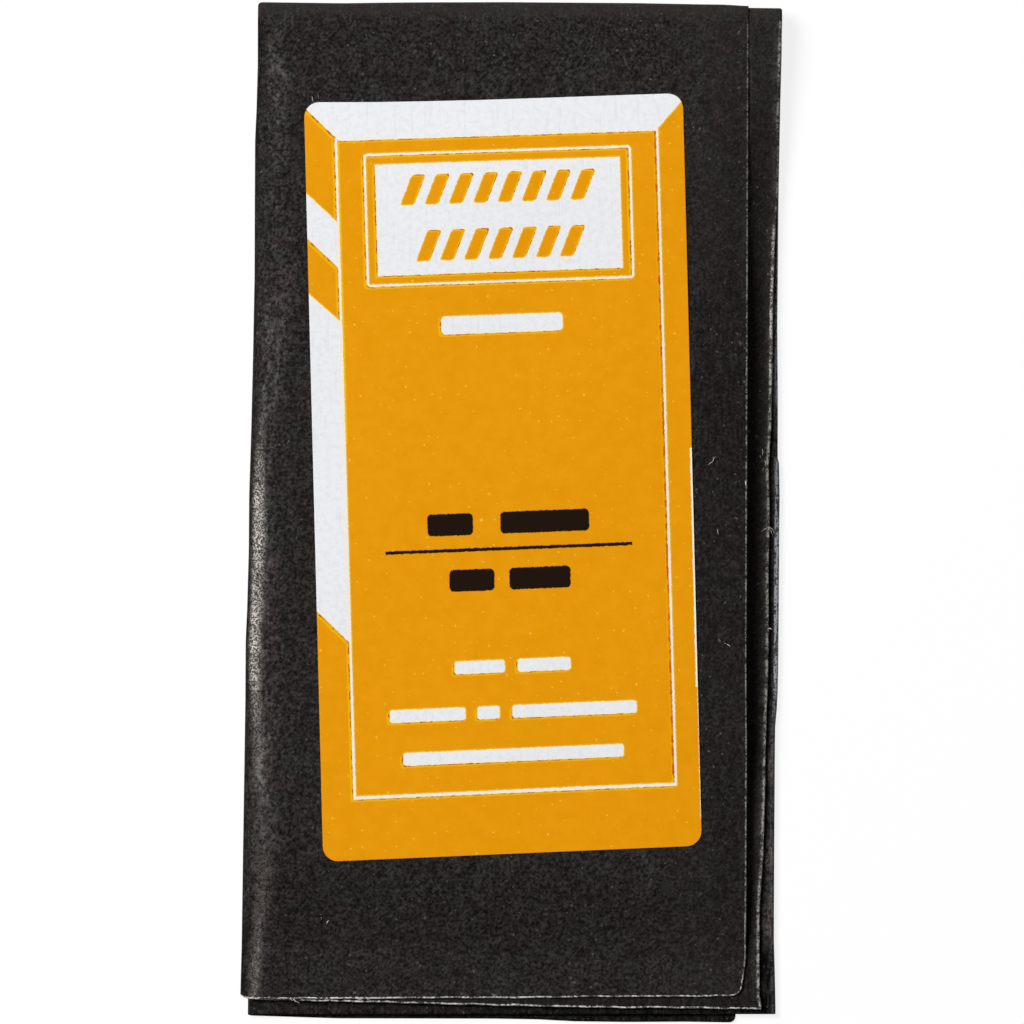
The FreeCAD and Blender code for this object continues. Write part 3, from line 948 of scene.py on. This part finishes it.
mottled = noise(tree, uv, 2.6, 5, 0.7)
paper_white = blend(tree, between(tree, mottled, 0.28, 0.6),
                    (0.745, 0.76, 0.775), (0.825, 0.835, 0.86))
streaky = noise(tree, vectors(tree, "MULTIPLY", uv, (4.5, 0.35, 1)), 1, 1)
streaky = between(tree, streaky, 0.6, 0.7, 0, 0.22)
paper_white = blend(tree, streaky, paper_white, (0.60, 0.62, 0.64))
warm_rim = between(tree, unmoved, -0.2, -0.03, 0.0, 0.6)
paper_white = blend(tree, warm_rim, paper_white, (0.95, 0.80, 0.62))
ink = blend(tree, within(unmoved), orange, paper_white)
cut_place = vectors(tree, "ADD", uv, jitter)
bare_edge = least(tree, [bar(tree, cut_place, *edge) for edge in BARE_EDGES])
ink = blend(tree, within(bare_edge, 0.03), ink, (0.92, 0.88, 0.82))
black = least(tree, [bar(tree, ragged_place, *black_bar) for black_bar in BLACK_BARS])
ink = blend(tree, within(black, 0.03), ink, (0.013, 0.005, 0.002))
tree.links.new(ink, shader.inputs["Base Color"])
bump = node(tree, "Bump", strength=0.25, distance=0.00001, height=noise(tree, place, 6, 3))
tree.links.new(bump, shader.inputs["Normal"])
label_sheet.data.materials.append(printed_label)
print("nodes in the label's finish:", len(tree.nodes))

# %% [markdown]
# ## Loose fibres
# A few pale fibres lie on the paper and stick out of its folds and cut ends. A hair system would
# strew them at random, but each of these has its own place. Each one is a thin tube with pointed
# ends that follows a few points, given in millimetres in the frame. The paper's own height under
# each point sets how high it lies.

# %% A fibre
SIDES = 6


def paper_top(flat):
    """Height of the paper that is seen at a place: the flap, or the tuck beside it."""
    x, s = front_place(flat)
    rise = ease((fold_line(s) - x) / (fold_line(s) - ROW_RIGHT))
    crease_top = base_height(s) + PITCH
    tuck_top = crease_top + (tuck_height(s) - crease_top) * rise + ripple(x, s) + HALF
    return np.where(x < flap_width(s), flap_top(x, s), tuck_top)


def fibre(points, radius):
    """Vertices and faces of a tube of six sides that narrows to both ends: rings of points round
    the line, joined by walls, with a cap at each end."""
    flat = np.array(points, dtype=float)
    line = np.concatenate([flat, paper_top(flat)[:, None] + 0.5 * radius], axis=-1)
    ahead = np.gradient(line, axis=0)
    side = np.cross(ahead, [0, 0, 1])
    side /= np.linalg.norm(side, axis=-1, keepdims=True)
    lift = np.cross(side, ahead)
    lift /= np.linalg.norm(lift, axis=-1, keepdims=True)
    turn = np.arange(SIDES) * 2 * np.pi / SIDES
    thin = np.full(len(line), radius)
    thin[[0, -1]] *= 0.4
    round_line = np.cos(turn)[:, None] * side[:, None] + np.sin(turn)[:, None] * lift[:, None]
    rings = line[:, None] + thin[:, None, None] * round_line
    start = SIDES * np.arange(len(line) - 1)[:, None]
    first, second = np.arange(SIDES) + start, np.roll(np.arange(SIDES), -1) + start
    walls = np.stack([first, first + SIDES, second + SIDES, second], axis=-1).reshape(-1, 4)
    last = SIDES * len(line) - 1
    caps = [list(range(SIDES)), list(range(last, last - SIDES, -1))]
    return rings.reshape(-1, 3), walls.tolist() + caps


# %% Where the fibres lie
ON_THE_FLAP = [
    (0.022, [(12.97, 3.09), (13.14, 3.22), (13.27, 3.30), (13.36, 3.52), (13.47, 3.62)]),
    (0.02, [(13.60, -1.14), (13.62, -1.36), (13.67, -1.53)]),
    (0.02, [(16.48, -1.33), (16.74, -1.14), (17.01, -1.01), (17.26, -1.17), (17.33, -1.43)]),
    (0.016, [(16.94, -1.01), (17.14, -1.27), (17.26, -1.60)]),
    (0.04, [(14.08, -8.66), (14.16, -8.70)]),
    (0.03, [(14.22, -8.74), (14.35, -8.80), (14.47, -8.93)]),
    (0.04, [(16.93, -7.69), (17.07, -7.70), (17.22, -7.77)]),
    (0.04, [(-12.18, -27.20), (-12.13, -27.05), (-12.05, -26.98)]),
    (0.03, [(-12.54, -26.75), (-12.52, -26.88)]),
    (0.02, [(-13.15, 27.38), (-13.11, 27.18), (-13.06, 27.02)]),
    (0.018, [(-12.75, 27.52), (-12.70, 27.24)]),
]
ON_THE_RIGHT_FOLD = [
    (0.055, [(15.44, 2.05), (15.47, 1.88), (15.47, 1.70)]),
    (0.035, [(15.49, 1.25), (15.47, 0.80)]), (0.035, [(15.43, -27.10), (15.41, -27.70)]),
    (0.03, [(16.55, 4.15), (16.62, 3.95), (16.58, 3.72)]),
    (0.03, [(16.72, 3.40), (16.80, 3.22), (16.76, 3.05)]),
    (0.025, [(16.42, 3.70), (16.48, 3.52)]), (0.025, [(16.64, 2.90), (16.60, 2.70)]),
]
AT_THE_LOWER_END = [
    (0.018, [(-14.66, -32.12), (-14.45, -32.24), (-14.30, -32.20), (-14.15, -32.34)]),
    (0.018, [(-14.38, -32.14), (-14.26, -32.32), (-14.08, -32.36), (-13.92, -32.52)]),
    (0.02, [(-13.90, -32.14), (-13.72, -32.24), (-13.58, -32.20)]),
    (0.02, [(-10.26, -32.00), (-10.15, -32.14), (-10.00, -32.20), (-9.88, -32.10)]),
    (0.022, [(-9.98, -32.04), (-9.86, -32.26), (-9.70, -32.34)]),
    (0.02, [(-9.60, -32.06), (-9.48, -32.18), (-9.30, -32.16)]),
    (0.018, [(-7.62, -31.98), (-7.44, -32.10), (-7.28, -32.02)]),
    (0.018, [(-1.30, -31.82), (-1.12, -31.92), (-0.95, -31.84)]),
]

tubes = [fibre(points, radius)
         for radius, points in ON_THE_FLAP + ON_THE_RIGHT_FOLD + AT_THE_LOWER_END]
starts = np.cumsum([0] + [len(vertices) for vertices, _ in tubes]).tolist()
faces = [[corner + start for corner in face]
         for (_, tube_faces), start in zip(tubes, starts) for face in tube_faces]
loose_fibres = piece("loose_fibres", np.concatenate([vertices for vertices, _ in tubes]), faces)
pale_fibre, tree, shader, place = finish("pale_fibre", 0.8, 0.1)
faded = between(tree, noise(tree, place, 3.0), 0.35, 0.65)
fibre_color = blend(tree, faded, (0.46, 0.44, 0.40), (0.58, 0.56, 0.52))
tree.links.new(fibre_color, shader.inputs["Base Color"])
loose_fibres.data.materials.append(pale_fibre)
print("fibres:", len(tubes))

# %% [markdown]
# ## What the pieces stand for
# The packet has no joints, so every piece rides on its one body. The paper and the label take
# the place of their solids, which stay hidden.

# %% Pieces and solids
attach(loose_fibres, "root")
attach(packet_paper, "root")
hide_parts("packet")
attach(label_sheet, "root")
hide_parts("label")
print("pieces:", packet_paper.name, label_sheet.name, loose_fibres.name)

# %% [markdown]
# ## Floor and light
# A product picture has a white floor that still takes the object's shadow. More light would
# bleach the label, so the floor glows a little instead, and only for the rays that Light Path
# says come from the camera or from gloss. The paper itself sees a plain pale floor. One soft lamp
# stands high on the left, which lights the left fold, beside the highlight painted there, and
# throws the shadow to the right.

# %% Floor
FLOOR_HALF, FLOOR_LEVEL, GLOW_SHARE = 1, -0.00002, 0.85

floor_mesh = bpy.data.meshes.new("floor")
floor_mesh.from_pydata([(x, y, FLOOR_LEVEL) for x, y in (
    (-FLOOR_HALF, -FLOOR_HALF), (FLOOR_HALF, -FLOOR_HALF), (FLOOR_HALF, FLOOR_HALF),
    (-FLOOR_HALF, FLOOR_HALF))], [], [(0, 1, 2, 3)])
floor = bpy.data.objects.new("floor", floor_mesh)
bpy.context.scene.collection.objects.link(floor)
floor_finish = bpy.data.materials.new("floor")
floor_finish.use_nodes = True
tree = floor_finish.node_tree
tree.nodes.remove(tree.nodes["Principled BSDF"])
ray = node(tree, "LightPath").node
seen = maths(tree, "ADD", ray.outputs["Is Camera Ray"], ray.outputs["Is Glossy Ray"])
seen = maths(tree, "ADD", seen, ray.outputs["Is Transmission Ray"])
lit = node(tree, "BsdfDiffuse", color=(1, 1, 1, 1))
glow = node(tree, "Emission", color=(1, 1, 1, 1), strength=1.0)
pale_floor = node(tree, "MixShader", GLOW_SHARE, lit, glow)
plain_floor = node(tree, "BsdfDiffuse", color=(0.8, 0.8, 0.8, 1))
both = node(tree, "MixShader", seen, plain_floor, pale_floor)
tree.links.new(both, tree.nodes["Material Output"].inputs[0])
floor_mesh.materials.append(floor_finish)


# %% Light
def softbox(name, place, size, power):
    """A square lamp that looks at the packet."""
    lamp = bpy.data.lights.new(name, "AREA")
    lamp.size, lamp.energy = size, power
    made = bpy.data.objects.new(name, lamp)
    made.location = place
    made.rotation_euler = (-Vector(place)).to_track_quat("-Z", "Y").to_euler()
    bpy.context.scene.collection.objects.link(made)
    print(f"{name}: {power} W, {Vector(place).length:.2f} m away")


softbox("key", (-0.60, 0.40, 0.85), 0.52, 16.3)
softbox("fill", (0.6, -0.5, 0.9), 0.6, 0.15)
world = bpy.data.worlds.new("world")
world.use_nodes = True
world.node_tree.nodes["Background"].inputs["Color"].default_value = (1, 1, 1, 1)
world.node_tree.nodes["Background"].inputs["Strength"].default_value = 0.05
bpy.context.scene.world = world
bpy.context.scene.view_settings.view_transform = "Standard"
